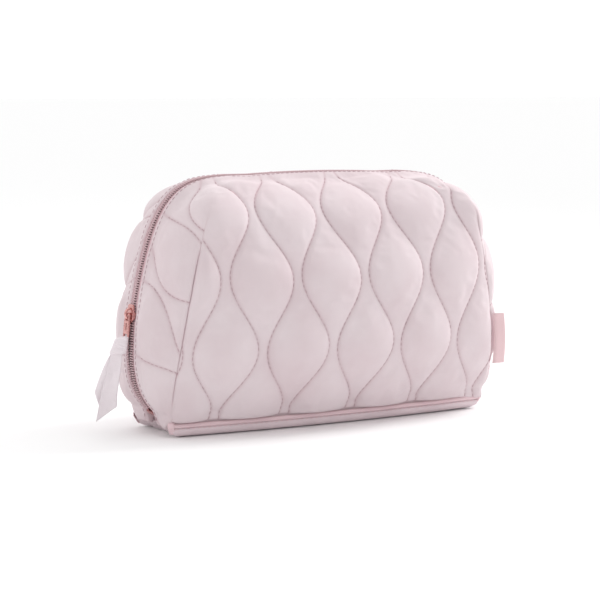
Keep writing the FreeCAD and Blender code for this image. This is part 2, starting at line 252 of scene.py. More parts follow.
def copies(template, faces, origins, axes):
    """One mesh of many copies of a template, each with its own origin and three axes."""
    points = origins[:, None, :] + np.einsum("kc,ncd->nkd", template, axes)
    count = len(template)
    all_faces = [[v + i * count for v in face] for i in range(len(origins)) for face in faces]
    return points.reshape(-1, 3), all_faces


def sweep(path, across, section, closed):
    """Tube through path. across gives the two axes, at each path point, of the section's (u, v) pairs."""
    u_axes, v_axes = across
    reach = section[None, :, :1] * u_axes[:, None, :]
    points = path[:, None, :] + reach + section[None, :, 1:] * v_axes[:, None, :]
    rows, cols = points.shape[:2]
    faces = grid_faces(rows, cols, wrap=True, closed=True).tolist() if closed else tube_faces(rows, cols)
    return points.reshape(-1, 3), faces


def boxed(wave, power):
    """A sine or cosine raised to a power, with its sign kept."""
    return np.sign(wave) * np.abs(wave) ** power


def ellipse(a, b, count, power):
    """Closed section, boxier for a power below 1."""
    angles = np.arange(count) * 2 * math.pi / count
    return np.stack([a * boxed(np.cos(angles), power), b * boxed(np.sin(angles), power)], -1)


def fix_normals(obj):
    """Turns the normals of a mesh outward."""
    work = bmesh.new()
    work.from_mesh(obj.data)
    bmesh.ops.recalc_face_normals(work, faces=work.faces)
    work.to_mesh(obj.data)
    work.free()
    return obj


def shell(*described, **extra):
    """Mesh object, described as for make_object, with its normals turned outward."""
    return fix_normals(make_object(*described, **extra))


def point_tree(points):
    tree = KDTree(len(points))
    for i, point in enumerate(points):
        tree.insert(point, i)
    tree.balance()
    return tree


# ---- materials ----
def node(tree, kind, inputs=None, **settings):
    """New shader node. settings are its own properties, and inputs the values of its sockets."""
    made = tree.nodes.new(kind)
    for key, value in settings.items():
        setattr(made, key, value)
    for key, value in (inputs or {}).items():
        made.inputs[key].default_value = value
    return made


def new_material(name, inputs):
    """Material with one Principled shader. Also returns its node tree and the shader."""
    material = bpy.data.materials.new(name)
    material.use_nodes = True
    tree = material.node_tree
    tree.nodes.clear()
    shader = node(tree, "ShaderNodeBsdfPrincipled", inputs)
    out = node(tree, "ShaderNodeOutputMaterial")
    tree.links.new(shader.outputs["BSDF"], out.inputs["Surface"])
    return material, tree, shader


def add_texture(tree, kind, inputs, **settings):
    """Texture that is fixed to the object's own coordinates."""
    place = node(tree, "ShaderNodeTexCoord")
    texture = node(tree, kind, inputs, **settings)
    tree.links.new(place.outputs["Object"], texture.inputs["Vector"])
    return texture


def mix_tones(tree, shader, color, deep, amount):
    tone = node(tree, "ShaderNodeMix", {"A": (*color, 1), "B": (*deep, 1)}, data_type="RGBA")
    tree.links.new(amount, tone.inputs["Factor"])
    tree.links.new(tone.outputs["Result"], shader.inputs["Base Color"])


def add_relief(tree, shader, height, strength, depth_mm):
    """Fine relief over whatever relief the shader already has."""
    relief = node(tree, "ShaderNodeBump", {"Strength": strength, "Distance": depth_mm * MM})
    tree.links.new(height, relief.inputs["Height"])
    for link in shader.inputs["Normal"].links:
        tree.links.new(link.from_socket, relief.inputs["Normal"])
    tree.links.new(relief.outputs["Normal"], shader.inputs["Normal"])


def fabric(name, color, deep, roughness=0.85, sheen=0.25, grain_mm=0.45, groove_shade=None):
    """Woven cloth: a fine grain, soft mottling, and the deeper tone as painted shade in the sewn grooves."""
    material, tree, shader = new_material(name, {
        "Roughness": roughness, "Sheen Weight": sheen, "Sheen Roughness": 0.45,
        "Sheen Tint": (1.0, 0.93, 0.94, 1), "Specular IOR Level": 0.25})
    fine = add_texture(tree, "ShaderNodeTexNoise", {"Scale": 1 / (grain_mm * MM), "Detail": 2.0})
    soft = add_texture(tree, "ShaderNodeTexNoise", {"Scale": 38.0, "Detail": 3.0})
    mottle = node(tree, "ShaderNodeMapRange", {"From Min": 0.3, "From Max": 0.8, "To Max": 0.32})
    tree.links.new(soft.outputs["Fac"], mottle.inputs["Value"])
    amount = mottle.outputs["Result"]
    # painted shade: darker colour in the grooves, read from a vertex attribute and added to the mottling
    if groove_shade:
        groove_shade_node = node(tree, "ShaderNodeAttribute", attribute_name=groove_shade)
        total = node(tree, "ShaderNodeMath", operation="ADD", use_clamp=True)
        tree.links.new(amount, total.inputs[0])
        tree.links.new(groove_shade_node.outputs["Fac"], total.inputs[1])
        amount = total.outputs[0]
    mix_tones(tree, shader, color, deep, amount)
    add_relief(tree, shader, fine.outputs["Fac"], 0.25, 0.5)
    return material


def ribbed(name, color, deep, rib_mm):
    """Narrow-woven cloth with ribs, for the tapes, the ribbon and the tag."""
    material = fabric(name, color, deep, roughness=0.8, grain_mm=0.3)
    tree = material.node_tree
    shader = next(n for n in tree.nodes if n.type == "BSDF_PRINCIPLED")
    ribs = add_texture(tree, "ShaderNodeTexWave", {"Scale": 1 / (rib_mm * MM) / 6.3, "Distortion": 0.4},
                       bands_direction="Z")
    add_relief(tree, shader, ribs.outputs["Fac"], 0.35, 0.15)
    return material


def hard(name, color, deep, roughness, metallic):
    """Plated metal or nylon, with faint scuffs."""
    material, tree, shader = new_material(name, {"Metallic": metallic})
    scuff = add_texture(tree, "ShaderNodeTexNoise", {"Scale": 900.0, "Detail": 4.0})
    mix_tones(tree, shader, color, deep, scuff.outputs["Fac"])
    rough = node(tree, "ShaderNodeMapRange", {"To Min": roughness * 0.8, "To Max": roughness * 1.4})
    tree.links.new(scuff.outputs["Fac"], rough.inputs["Value"])
    tree.links.new(rough.outputs["Result"], shader.inputs["Roughness"])
    add_relief(tree, shader, scuff.outputs["Fac"], 0.12, 0.05)
    return material


# the deep colour gives random mottling, and painted shade in the grooves, at the darts and at the edges
QUILT = fabric("quilt_fabric", (0.735, 0.640, 0.662), (0.56, 0.40, 0.43), groove_shade="groove_shade")
LINING = fabric("lining_fabric", (0.66, 0.46, 0.49), (0.55, 0.35, 0.38), roughness=0.6, sheen=0.1)
BASE_CLOTH = fabric("base_fabric", (0.79, 0.67, 0.70), (0.66, 0.50, 0.54))
PIPING = fabric("piping_fabric", (0.80, 0.61, 0.64), (0.66, 0.46, 0.50))
BINDING = ribbed("binding_tape", (0.62, 0.42, 0.45), (0.5, 0.32, 0.35), 0.6)
TAPE = ribbed("zip_tape", (0.66, 0.46, 0.49), (0.52, 0.32, 0.35), 0.5)
THREAD = fabric("sewing_thread", (0.52, 0.37, 0.40), (0.42, 0.28, 0.31), roughness=0.6, grain_mm=0.2)
NYLON = hard("zip_nylon", (0.62, 0.44, 0.46), (0.52, 0.34, 0.37), 0.42, 0.0)
ROSE = hard("rose_metal", (0.72, 0.39, 0.37), (0.60, 0.29, 0.27), 0.24, 1.0)
RIBBON = ribbed("ribbon_weave", (0.86, 0.79, 0.82), (0.78, 0.68, 0.72), 0.55)
TAG = ribbed("tag_weave", (0.80, 0.59, 0.61), (0.72, 0.50, 0.52), 0.5)


# ---- the quilted halves ----
climb, climbed = climb_steps(ROWS + 1)
LEFT_SEAM = SIDE_COLS
RIGHT_SEAM = SIDE_COLS + FRONT_COLS
MIDDLE = SIDE_COLS + FRONT_COLS // 2


def rounded_above_darts(grid):
    """Rounds the two corners of a half off above the darts' tips."""
    soft = blur(grid, 90, axes=(1,))
    tip = climbed[int(np.argmax(grid[:, LEFT_SEAM, 2] > DART_TOP_Z))]
    upper = smoothstep((climbed - tip + 8) / 16)[:, None]
    cols = np.arange(grid.shape[1])
    from_seam = np.minimum(np.abs(cols - LEFT_SEAM), np.abs(cols - RIGHT_SEAM))
    weight = (upper * np.exp(-(from_seam / 14.0) ** 2)[None, :])[..., None]
    return grid * (1 - weight) + soft * weight


base_grid = rounded_above_darts(half_surface(0.0, climb, SIDE_COLS, FRONT_COLS))
base_normals = grid_normals(base_grid)


def flat_coordinates():
    """Where each grid point lay on the flat quilted cloth, before the darts were sewn."""
    step = np.linalg.norm(np.diff(base_grid, axis=1), axis=2)
    a = np.concatenate([np.zeros((len(base_grid), 1)), np.cumsum(step, axis=1)], 1)
    a -= a[:, MIDDLE:MIDDLE + 1]
    h = np.repeat(climbed[:, None], a.shape[1], 1)
    apex = int(np.argmax(base_grid[:, LEFT_SEAM, 2] > DART_TOP_Z))
    flat = np.stack([a, h], -1)
    for sign, cols in ((-1, slice(0, LEFT_SEAM)), (1, slice(RIGHT_SEAM + 1, None))):
        tip = flat[apex, LEFT_SEAM if sign < 0 else RIGHT_SEAM]
        d = flat[:, cols] - tip
        round_tip = np.arctan2(sign * d[..., 0], d[..., 1])
        round_tip = np.where(round_tip < -math.pi / 2, math.pi, np.maximum(round_tip, 0))
        turn = sign * DART_TURN * smoothstep(round_tip / math.radians(115))
        c, s = np.cos(turn), np.sin(turn)
        flat[:, cols] = tip + np.stack([c * d[..., 0] - s * d[..., 1], s * d[..., 0] + c * d[..., 1]], -1)
    return a, flat, apex


def line_x(j, h):
    """Wave line j on the flat cloth: its place across at a height."""
    swing = np.where(np.asarray(j) % 2 == 0, WAVE_SWING, -WAVE_SWING)
    return LINE_SHIFT + LINE_PITCH * np.asarray(j) + swing * np.cos(math.pi * (h - NECK_H) / HALF_WAVE)


def line_distances(flat):
    """Distances to the wave lines on either side of each point."""
    x, h = flat[..., 0], flat[..., 1]
    guess = np.floor((x - LINE_SHIFT) / LINE_PITCH).astype(int)
    signed = np.stack([x - line_x(guess + k, h) for k in range(-1, 4)], -1)
    below = np.where(signed >= 0, signed, 1e3).min(-1)
    above = np.where(signed < 0, -signed, 1e3).min(-1)
    slope = np.abs(np.sin(math.pi * (h - NECK_H) / HALF_WAVE)) * WAVE_SWING * math.pi / HALF_WAVE
    tilt = 1 / np.sqrt(1 + slope ** 2)
    return below * tilt, above * tilt


across_mm, flat_cloth, APEX = flat_coordinates()


def edge_distances():
    """Distance of each point to the mouth edge, to the foot seam and to the nearest dart."""
    tree = point_tree(mouth_loop(base_grid))
    mouth = np.array([tree.find(p)[2] for p in base_grid.reshape(-1, 3)]).reshape(base_grid.shape[:2])
    foot = np.repeat(climbed[:, None], base_grid.shape[1], 1)
    dart = np.minimum(np.abs(across_mm - across_mm[:, LEFT_SEAM:LEFT_SEAM + 1]),
                      np.abs(across_mm - across_mm[:, RIGHT_SEAM:RIGHT_SEAM + 1]))
    past_tip = np.maximum(foot - climbed[APEX], 0)
    return mouth, foot, np.hypot(dart, past_tip)


mouth_away, foot_away, dart_away = edge_distances()
near, far = line_distances(flat_cloth)
line_away = np.minimum(near, far)
near_top = smoothstep((base_grid[..., 2] - 120) / 25)
dart_depth = smoothstep((climbed[APEX] - foot_away) / 26.0 + 0.15)


def puff_height():
    """How far the padding swells: most in the middle of the widest cells, and nothing at the seams."""
    dome = (4 * near * far / np.maximum(near + far, 1e-6) ** 2) ** DOME_POWER
    puff = PUFF_SLOPE * np.minimum(near + far, WIDEST_CELL) * dome
    puff *= smoothstep((mouth_away - 1.0) / (9.0 + 10.0 * near_top)) * smoothstep(foot_away / 7.0) ** 0.5
    return puff * (1 - dart_depth * np.exp(-dart_away / 4.0))


def seam_depth():
    """How far the cloth is drawn in: more over the top, at the darts and at the edges than elsewhere."""
    sink = (GROOVE_SINK + SETTLE) * smoothstep(mouth_away / 8.0) * smoothstep(foot_away / 8.0)
    sink += TOP_SETTLE * near_top * smoothstep(mouth_away / 14.0)
    sink += 1.3 * dart_depth * np.exp(-dart_away / 1.6)
    sink += 0.9 * np.clip(1 - mouth_away / 2.2, 0, 1) ** 2 + 1.6 * np.clip(1 - foot_away / 3.5, 0, 1) ** 2
    return sink


def end_weight():
    """One along the foot of both ends of a half, less on the right end of its front, nothing elsewhere."""
    on_end = np.zeros(base_grid.shape[:2])
    t = np.linspace(0, 1, SIDE_COLS + 1)
    on_end[:, :LEFT_SEAM + 1] = smoothstep((1 - t) / 0.45)
    on_end[:, RIGHT_SEAM:] = smoothstep(t / 0.45)
    lobe = LOBE_SHARE * smoothstep((np.arange(FRONT_COLS + 1) - FRONT_COLS + RIGHT_LOBE) / RIGHT_LOBE)
    on_end[:, LEFT_SEAM:RIGHT_SEAM + 1] += lobe
    on_end[:, RIGHT_SEAM:] = np.maximum(on_end[:, RIGHT_SEAM:], LOBE_SHARE)
    return on_end * smoothstep(1 - foot_away / 9.0)


def hung(points):
    """Lets the foot of the ends hang over the base."""
    weight = end_weight()
    out = END_SWING * weight * (1 - 0.6 * smoothstep(foot_away / 5.0))
    return points + np.stack([np.sign(base_grid[..., 0]) * out, 0 * out, -SIDE_HANG * weight], -1)


quilt_start = hung(base_grid + base_normals * (puff_height() - seam_depth())[..., None])


def simulate(points, pinned):
    """Short cloth simulation with pressure inside: the cloth swells between its pinned lines and puckers."""
    rows, cols = points.shape[:2]
    mesh = bpy.data.meshes.new("cloth_work")
    mesh.from_pydata((points.reshape(-1, 3) * MM).tolist(), [], grid_faces(rows, cols).tolist())
    obj = bpy.data.objects.new("cloth_work", mesh)
    bpy.context.scene.collection.objects.link(obj)
    pins = obj.vertex_groups.new(name="pins")
    pins.add([int(i) for i in np.flatnonzero(pinned.ravel())], 1.0, "REPLACE")
    cloth = obj.modifiers.new("cloth", "CLOTH")
    s = cloth.settings
    s.quality = 6
    s.mass = 0.02
    s.tension_stiffness = s.compression_stiffness = 8.0
    s.shear_stiffness = 4.0
    s.bending_stiffness = 0.6
    s.air_damping = 2.0
    s.vertex_group_mass = "pins"
    s.shrink_min = -0.012
    s.use_pressure = True
    s.uniform_pressure_force = 4.0
    s.effector_weights.gravity = 0.0
    cloth.point_cache.frame_start = 1
    cloth.point_cache.frame_end = CLOTH_FRAMES
    scene = bpy.context.scene
    for number in range(1, CLOTH_FRAMES + 1):
        scene.frame_set(number)
    done = obj.evaluated_get(bpy.context.evaluated_depsgraph_get()).data
    moved = np.empty(len(done.vertices) * 3)
    done.vertices.foreach_get("co", moved)
    scene.frame_set(1)
    bpy.data.objects.remove(obj)
    return moved.reshape(points.shape) / MM


def refine(coarse, rows, cols):
    """Spreads a coarse grid of vectors over the full grid."""
    r = np.linspace(0, coarse.shape[0] - 1, rows)
    c = np.linspace(0, coarse.shape[1] - 1, cols)
    r0 = np.minimum(r.astype(int), coarse.shape[0] - 2)
    c0 = np.minimum(c.astype(int), coarse.shape[1] - 2)
    fr, fc = smoothstep(r - r0)[:, None, None], smoothstep(c - c0)[None, :, None]
    top = coarse[r0][:, c0] * (1 - fc) + coarse[r0][:, c0 + 1] * fc
    bottom = coarse[r0 + 1][:, c0] * (1 - fc) + coarse[r0 + 1][:, c0 + 1] * fc
    return top * (1 - fr) + bottom * fr


def swollen_quilt():
    coarse = quilt_start[::COARSE, ::COARSE]
    held = np.minimum(line_away, dart_away + 30 * (1 - dart_depth))[::COARSE, ::COARSE] < 1.5
    held |= np.minimum(mouth_away, foot_away)[::COARSE, ::COARSE] < 3.0
    moved = simulate(coarse, held) - coarse
    size = np.linalg.norm(moved, axis=-1, keepdims=True)
    moved *= np.minimum(1, 4.0 / np.maximum(size, 1e-6))
    spread = blur(refine(moved, *quilt_start.shape[:2]), 5)
    return quilt_start + spread * smoothstep(line_away / 3.0)[..., None]


quilt_grid = swollen_quilt()


def quilt_half(name, back):
    """Padded half: the quilted face, then the rolled edges that turn in at the mouth and the foot."""
    rows, cols = quilt_grid.shape[:2]
    index = np.arange(rows * cols).reshape(rows, cols)
    faces = grid_faces(rows, cols).tolist()
    layers = [quilt_grid.reshape(-1, 3)]
    for at_mouth, last, rolls in ((True, mouth_loop(index), MOUTH_ROLL), (False, index[0], FOOT_ROLL)):
        for depth, shift in rolls:
            surface = half_surface(depth, climb, SIDE_COLS, FRONT_COLS)
            edge = mouth_loop(surface) if at_mouth else surface[0]
            start = sum(len(layer) for layer in layers)
            new = np.arange(start, start + len(edge))
            quads = np.stack([last[:-1], last[1:], new[1:], new[:-1]], -1)
            faces += (quads if at_mouth else quads[:, ::-1]).tolist()
            layers.append(edge - [0, shift, 0])
            last = new
    points = np.concatenate(layers)
    # painted shade: the face's groove shade, and a half share on the rolled edges where they turn in
    groove_shade = np.concatenate([painted_groove_shade().ravel(), np.full(len(points) - rows * cols, 0.5)])
    obj = make_object(name, mirror_y(points) if back else points, faces, QUILT, "quilt_fabric")
    vertex_values(obj, "groove_shade", groove_shade)
    return fix_normals(obj)


def painted_groove_shade():
    """How much of the deeper tone shows, as painted shade: in the grooves along the stitching, at the darts
    and at the edges, where shade falls.
    """
    tone = 0.42 * np.exp(-(line_away / 0.75) ** 2)
    tone += 0.9 * dart_depth * np.exp(-(dart_away / 0.7) ** 2)
    tone += 0.3 * np.exp(-mouth_away / 2.5) + 0.4 * np.exp(-foot_away / 2.0)
    return np.clip(tone, 0, 1)


def lining_half(name, back):
    """Thin lining on the inside of a half, gathered a little at the seams."""
    steps, _ = climb_steps(71)
    grid = half_surface(LINING_DEPTH + 0.1, steps, 20, 80)
    normals = grid_normals(grid)
    r = np.linspace(0, 1, grid.shape[0])[:, None]
    c = np.linspace(0, 1, grid.shape[1])[None, :]
    ripple = 0.5 * np.sin(2 * math.pi * (9 * c + 1.5 * r)) * np.sin(math.pi * r) * np.sin(math.pi * c)
    grid = grid - normals * (0.15 + np.abs(ripple))[..., None]
    points = mirror_y(grid) if back else grid
    faces = grid_faces(*grid.shape[:2])
    return make_object(name, points, faces if back else faces[:, ::-1], LINING, "lining", thickness=0.3)


# ---- stitching ----
class Cloth:
    """Finds the place on the finished quilt of a point of the flat cloth, or of a point in space."""

    def __init__(self):
        self.points = quilt_grid.reshape(-1, 3)
        self.normals = grid_normals(quilt_grid).reshape(-1, 3)
        self.flat = flat_cloth.reshape(-1, 2)
        self.d_place = [np.gradient(quilt_grid, axis=k).reshape(-1, 3) for k in (1, 0)]
        self.d_flat = [np.gradient(flat_cloth, axis=k).reshape(-1, 2) for k in (1, 0)]
        self.flat_tree = point_tree([(x, h, 0) for x, h in self.flat])
        self.space_tree = point_tree(base_grid.reshape(-1, 3))
        self.quilt_tree = point_tree(self.points)

    def from_flat(self, x, h):
        """Place, normal and index of the nearest grid point, or None off the cloth."""
        _, i, gap = self.flat_tree.find((x, h, 0))
        jacobian = np.array([self.d_flat[0][i], self.d_flat[1][i]]).T
        if gap > 0.9 or abs(np.linalg.det(jacobian)) < 1e-3:
            return None
        step = np.clip(np.linalg.solve(jacobian, np.array([x, h]) - self.flat[i]), -1, 1)
        place = self.points[i] + step[0] * self.d_place[0][i] + step[1] * self.d_place[1][i]
        return place, self.normals[i], i

    def from_space(self, p):
        """The point p moved on to the cloth, and the normal there."""
        i = self.space_tree.find(p)[1]
        n = self.normals[i]
        return p - n * float((p - self.points[i]) @ n), n


STITCH = 2.2
STITCH_GAP = 1.1
THREAD_R = 0.26
MOUTH_STITCHING = 3.6     # from the mouth edge


def stitch_run(samples, lift=0.08):
    """Origins and axes of stitches through a run of (place, normal), spaced by the stitch pitch."""
    places = np.array([s[0] for s in samples])
    normals = np.array([s[1] for s in samples])
    along = distances_along(places)
    centres = np.arange(STITCH / 2, along[-1] - STITCH / 2, STITCH + STITCH_GAP)
    if not len(centres):
        return None

    def at(values, where):
        return np.stack([np.interp(where, along, values[:, k]) for k in range(3)], -1)

    direction = unit(at(places, centres + STITCH / 2) - at(places, centres - STITCH / 2))
    normal = unit(at(normals, centres))
    side = unit(np.cross(normal, direction))
    origins = at(places, centres) + np.cross(direction, side) * lift
    return origins, np.stack([direction, side, np.cross(direction, side)], 1)


def wave_runs(cloth):
    """Unbroken runs of each wave line over the cloth."""
    runs = []
    for j in range(-9, 18):
        run = []
        for h in np.arange(-90, 260, 0.8):
            found = cloth.from_flat(float(line_x(j, h)), h)
            good = found is not None and mouth_away.flat[found[2]] > 5.0 and foot_away.flat[found[2]] > 1.5
            if not good or run and np.linalg.norm(found[0] - run[-1][0]) > 3.0:
                runs.append(run)
                run = []
            if good:
                run.append(found[:2])
        runs.append(run)
    return [run for run in runs if len(run) > 6]


def mouth_run(cloth, away):
    """Topstitching that follows the mouth edge at a distance."""
    edge = resample(mouth_loop(base_grid)[3:-3], 420)
    run = []
    for p, t in zip(edge, unit(np.gradient(edge, axis=0))):
        inward = np.cross(t, cloth.from_space(p)[1])
        inward = inward if inward[1] < 0 else -inward
        run.append(cloth.from_space(p + inward * away))
    return run


def stitched(cloth, name, back):
    template, faces = capsule(STITCH, THREAD_R)
    runs = wave_runs(cloth) + [mouth_run(cloth, MOUTH_STITCHING)]
    parts = [made for made in (stitch_run(run) for run in runs) if made]
    origins = np.concatenate([p[0] for p in parts])
    axes = np.concatenate([p[1] for p in parts])
    lying = np.array([cloth.quilt_tree.find(origin)[2] < 1.2 for origin in origins])
    points, all_faces = copies(template, faces, origins[lying], axes[lying])
    points = mirror_y(points) if back else points
    return shell(name, points, all_faces, THREAD, "quilt_fabric")


# ---- zip ----
COIL_PROUD = 0.85         # the coil's crest stands out this far from the middle of the CAD's coil
TOOTH_PITCH = 1.45
FOOT_STOP_Z = 12.5
OPEN_TOP_Z = SLIDER_Z - 5
PARTED_MOST = 0.9
PARTED_LEAST = 0.45


def mouth_path(depth, pitch):
    """Evenly spaced points down the middle of the zip at a depth, with their directions."""
    line = mouth_loop(half_surface(depth, climb, 12, 60)) * [1, 0, 1]
    line = resample(line, int(distances_along(line)[-1] / pitch))
    tangent = unit(np.gradient(line, axis=0))
    outward = np.stack([-tangent[:, 2], 0 * tangent[:, 0], tangent[:, 0]], -1)
    return line, tangent, outward


def parted(points):
    """How far each row of the zip stands back from the middle, where the slider has opened it."""
    z = points[:, 2]
    gap = PARTED_MOST * smoothstep((OPEN_TOP_Z - z) / 8.0) * smoothstep((z - FOOT_Z) / 45.0)
    return np.where(points[:, 0] < 0, gap + PARTED_LEAST * (z < OPEN_TOP_Z), 0.0)


def zip_tape(name, side):
    """Tape of one row: its outer part, beyond 5 mm, is held by the quilt and parts less."""
    path, _, outward = mouth_path(0.8, 1.0)
    section = [(6.6, 1.6), (5.2, 0.4), (4.4, 0.0), (1.6, 0.1), (1.6, 0.6), (4.2, 0.6), (6.6, 2.2)]
    rows = []
    for y, depth in section:
        shift = parted(path) * (1.0 if y < 5 else 0.4)
        rows.append(path - outward * depth + np.array([0, side, 0]) * (y + shift)[:, None])
    points = np.stack(rows, 1)
    return shell(name, points, grid_faces(*points.shape[:2], wrap=True), TAPE, "zip_tape")


def zip_coil(name, side):
    """One row of the nylon coil: a loop for each tooth, sewn down by a thread."""
    found = mouth_path(COIL_DEPTH - COIL_PROUD, TOOTH_PITCH / 2)
    path, tangent, outward = (values[2 if side < 0 else 3:-2:2] for values in found)
    clear = np.abs(path[:, 2] - FOOT_STOP_Z) > 2.2
    path, tangent, outward = path[clear], tangent[clear], outward[clear]
    across = np.array([0.0, side, 0.0])
    stations = [(2.9, 0.30, -0.5), (2.7, 0.42, 0.0), (1.8, 0.40, 0.12), (0.7, 0.42, 0.2), (-0.15, 0.52, 0.16),
                (-0.55, 0.36, 0.0)]
    angles = np.arange(6) * 2 * math.pi / 6
    tooth = [(r * math.cos(a) * 1.15, y, off + r * math.sin(a)) for y, r, off in stations for a in angles]
    axes = np.stack([tangent, np.tile(across, (len(path), 1)), outward], 1)
    origins = path + across * parted(path)[:, None]
    points, faces = copies(tooth, tube_faces(len(stations), 6), origins, axes)
    thread, thread_faces = capsule(1.0, 0.2)
    thread_points, more = copies(thread, thread_faces, origins + across * 2.2 + outward * 0.4, axes)
    faces += [[v + len(points) for v in face] for face in more]
    return shell(name, np.concatenate([points, thread_points]), faces, NYLON, "zip_coil")


# ---- slider, pull and ribbon ----
def slider_axes():
    """Origin and axes of the slider: out of the bag, across the zip, and up along it."""
    path, tangent, outward = mouth_path(COIL_DEPTH, 0.25)
    half = len(path) // 2
    i = int(np.argmin(np.abs(path[:half, 2] - SLIDER_Z)))
    out, up = outward[i], tangent[i]
    return path[i], np.stack([out, np.cross(up, out), up])


SLIDER_AT, SLIDER_AXES = slider_axes()
PLATE_X = 1.4
PLATE_T = 1.2
CROWN_X = PLATE_X + PLATE_T
PIVOT = SLIDER_AT + SLIDER_AXES[0] * (CROWN_X + 1.0)
PULL_LEAN = math.radians(6.0)


def local(points, origin, axes):
    return origin + np.asarray(points, float) @ axes


def bevelled(name, parts, origin, axes, material, slot, width):
    """Prisms joined into one object with rounded edges. Each part is (outline in y and z, x range)."""
    points, faces = [], []
    for outline, (x0, x1) in parts:
        n, start = len(outline), len(points)
        points += [(x0, y, z) for y, z in outline] + [(x1, y, z) for y, z in outline]
        faces += [[start + v for v in face] for face in tube_faces(2, n)]
    obj = make_object(name, local(points, origin, axes), faces, material, slot)
    work = bmesh.new()
    work.from_mesh(obj.data)
    bmesh.ops.recalc_face_normals(work, faces=work.faces)
    sharp = [e for e in work.edges if len(e.link_faces) == 2 and e.calc_face_angle() > math.radians(35)]
    bmesh.ops.bevel(work, geom=sharp, offset=width * MM, segments=3, profile=0.6, affect="EDGES")
    for face in work.faces:
        face.smooth = True
    work.to_mesh(obj.data)
    work.free()
    return obj


def rectangle(y0, y1, z0, z1):
    return [(y0, z0), (y1, z0), (y1, z1), (y0, z1)]


def slider_body():
    """Two shield-shaped plates, the flanges at their edges and the post that joins them."""
    w, h = 4.6, 5.5
    half = [(0.0, h), (w * 0.5, h), (w * 0.72, h * 0.86), (w * 0.8, h * 0.5), (w, h * 0.1), (w, -h * 0.5),
            (w * 0.62, -h * 0.86), (w * 0.25, -h)]
    outline = half + [(-y, z) for y, z in reversed(half[1:])]
    parts = [(outline, (PLATE_X, PLATE_X + PLATE_T)), (outline, (-PLATE_X - PLATE_T, -PLATE_X))]
    for side in (-1, 1):
        flange = rectangle(*sorted((side * w, side * (w - 0.7))), -h * 0.5, h * 0.2)
        parts.append((flange, (PLATE_X - 0.7, PLATE_X + 0.3)))
        parts.append((flange, (-PLATE_X - 0.3, -PLATE_X + 0.7)))
    parts.append((rectangle(-0.8, 0.8, -h * 0.85, -h * 0.3), (-PLATE_X - 0.2, PLATE_X + 0.2)))
    return bevelled("slider_body_metal", parts, SLIDER_AT, SLIDER_AXES, ROSE, "rose_metal", 0.28)


def slider_crown():
    """Arch that carries the pull."""
    angle = np.linspace(0, 1, 21) * math.pi
    path = np.stack([CROWN_X - 0.15 + 2.7 * np.sin(angle), 0 * angle, -3.1 * np.cos(angle)], -1)
    tangent = unit(np.gradient(path, axis=0))
    inward = np.cross(tangent, [0.0, 1.0, 0.0])
    wide = np.tile([0.0, 1.0, 0.0], (len(path), 1))
    points, faces = sweep(path, (inward, wide), ellipse(0.55, 1.15, 12, 0.6), closed=False)
    return shell("slider_crown_metal", local(points, SLIDER_AT, SLIDER_AXES), faces, ROSE, "rose_metal")


def pull_axes():
    c, s = math.cos(PULL_LEAN), math.sin(PULL_LEAN)
    return np.array([[-c, 0.0, s], [0.0, -1.0, 0.0], [s, 0.0, c]])


def pull():
    """Narrow pull: a rounded rim, whose top runs through the arch, and bars that leave a slit and an eye."""
    length, half = 16.0, 2.7
    turn = np.linspace(0, 2 * math.pi, 48, endpoint=False)
    y = half * boxed(np.cos(turn), 0.55)
    z = -length / 2 + (length / 2) * boxed(np.sin(turn), 0.28)
    y = y * (1 - 0.12 * smoothstep((z + 9) / 8))
    path = np.stack([0 * y, y, z], -1)
    tangent = loop_tangents(path)
    flat = np.tile([1.0, 0.0, 0.0], (len(path), 1))
    points, faces = sweep(path, (np.cross(tangent, flat), flat), ellipse(0.68, 0.66, 12, 0.7), closed=True)
    rim = shell("zip_pull_metal", local(points, PIVOT, pull_axes()), faces, ROSE, "rose_metal")
    bars = [(rectangle(-half, half, z0, z1), (-0.6, 0.6)) for z0, z1 in ((-5.6, -4.0), (-11.8, -9.6))]
    for side in (-1, 1):
        bars.append((rectangle(*sorted((side * 0.55, side * half)), -11.0, -4.6), (-0.5, 0.5)))
    return rim, bevelled("zip_pull_bars", bars, PIVOT, pull_axes(), ROSE, "rose_metal", 0.25)


RIBBON_X = -128.0
KNOT_TOP_Z = 57.4
KNOT_LENGTH = 10.2
RIBBON_TURN = math.radians(-30)
RIBBON_AXES = np.array([[math.cos(RIBBON_TURN), math.sin(RIBBON_TURN), 0],
                        [-math.sin(RIBBON_TURN), math.cos(RIBBON_TURN), 0], [0, 0, 1.0]])


def in_ribbon(across, off, z):
    """Points in the ribbon's upright plane: across it, off it towards the bag, and height."""
    return local(np.stack([across, off, z], -1), np.array([RIBBON_X, 0, 0]), RIBBON_AXES)


def ribbon_knot():
    """Ribbon wrapped round the pull's end, pulled tight, with a slanting fold."""
    rows, cols = 33, 48
    v = np.linspace(0, 1, rows)[:, None]
    angle = np.linspace(0, 2 * math.pi, cols, endpoint=False)[None, :]
    z = KNOT_TOP_Z - KNOT_LENGTH * v
    left = -2.0 - 4.0 * v
    right = 5.9 - 1.5 * v
    middle, half = (left + right) / 2, (right - left) / 2
    c, s = np.cos(angle), np.sin(angle)
    pinch = 1 - 0.5 * np.abs(2 * v - 1) ** 16
    across = middle + half * boxed(c, 0.55) * pinch
    off = 2.5 * boxed(s, 0.75) * pinch
    slant = across * 0.35 + (z - 52.0)
    fold = 0.28 * np.tanh(slant / 0.4) * (s < 0.2) + 0.2 * np.sin(slant * 2.4) * np.abs(s)
    off = off * (1 + 0.12 * fold) + np.sign(s) * fold * 0.8
    z = z + 0.35 * np.sin(3 * angle + 1.0) * (1 - np.abs(2 * v - 1)) + 0.5 * c * (1 - v)
    return shell("ribbon_knot_cloth", in_ribbon(across, off, z), tube_faces(rows, cols), RIBBON, "ribbon")


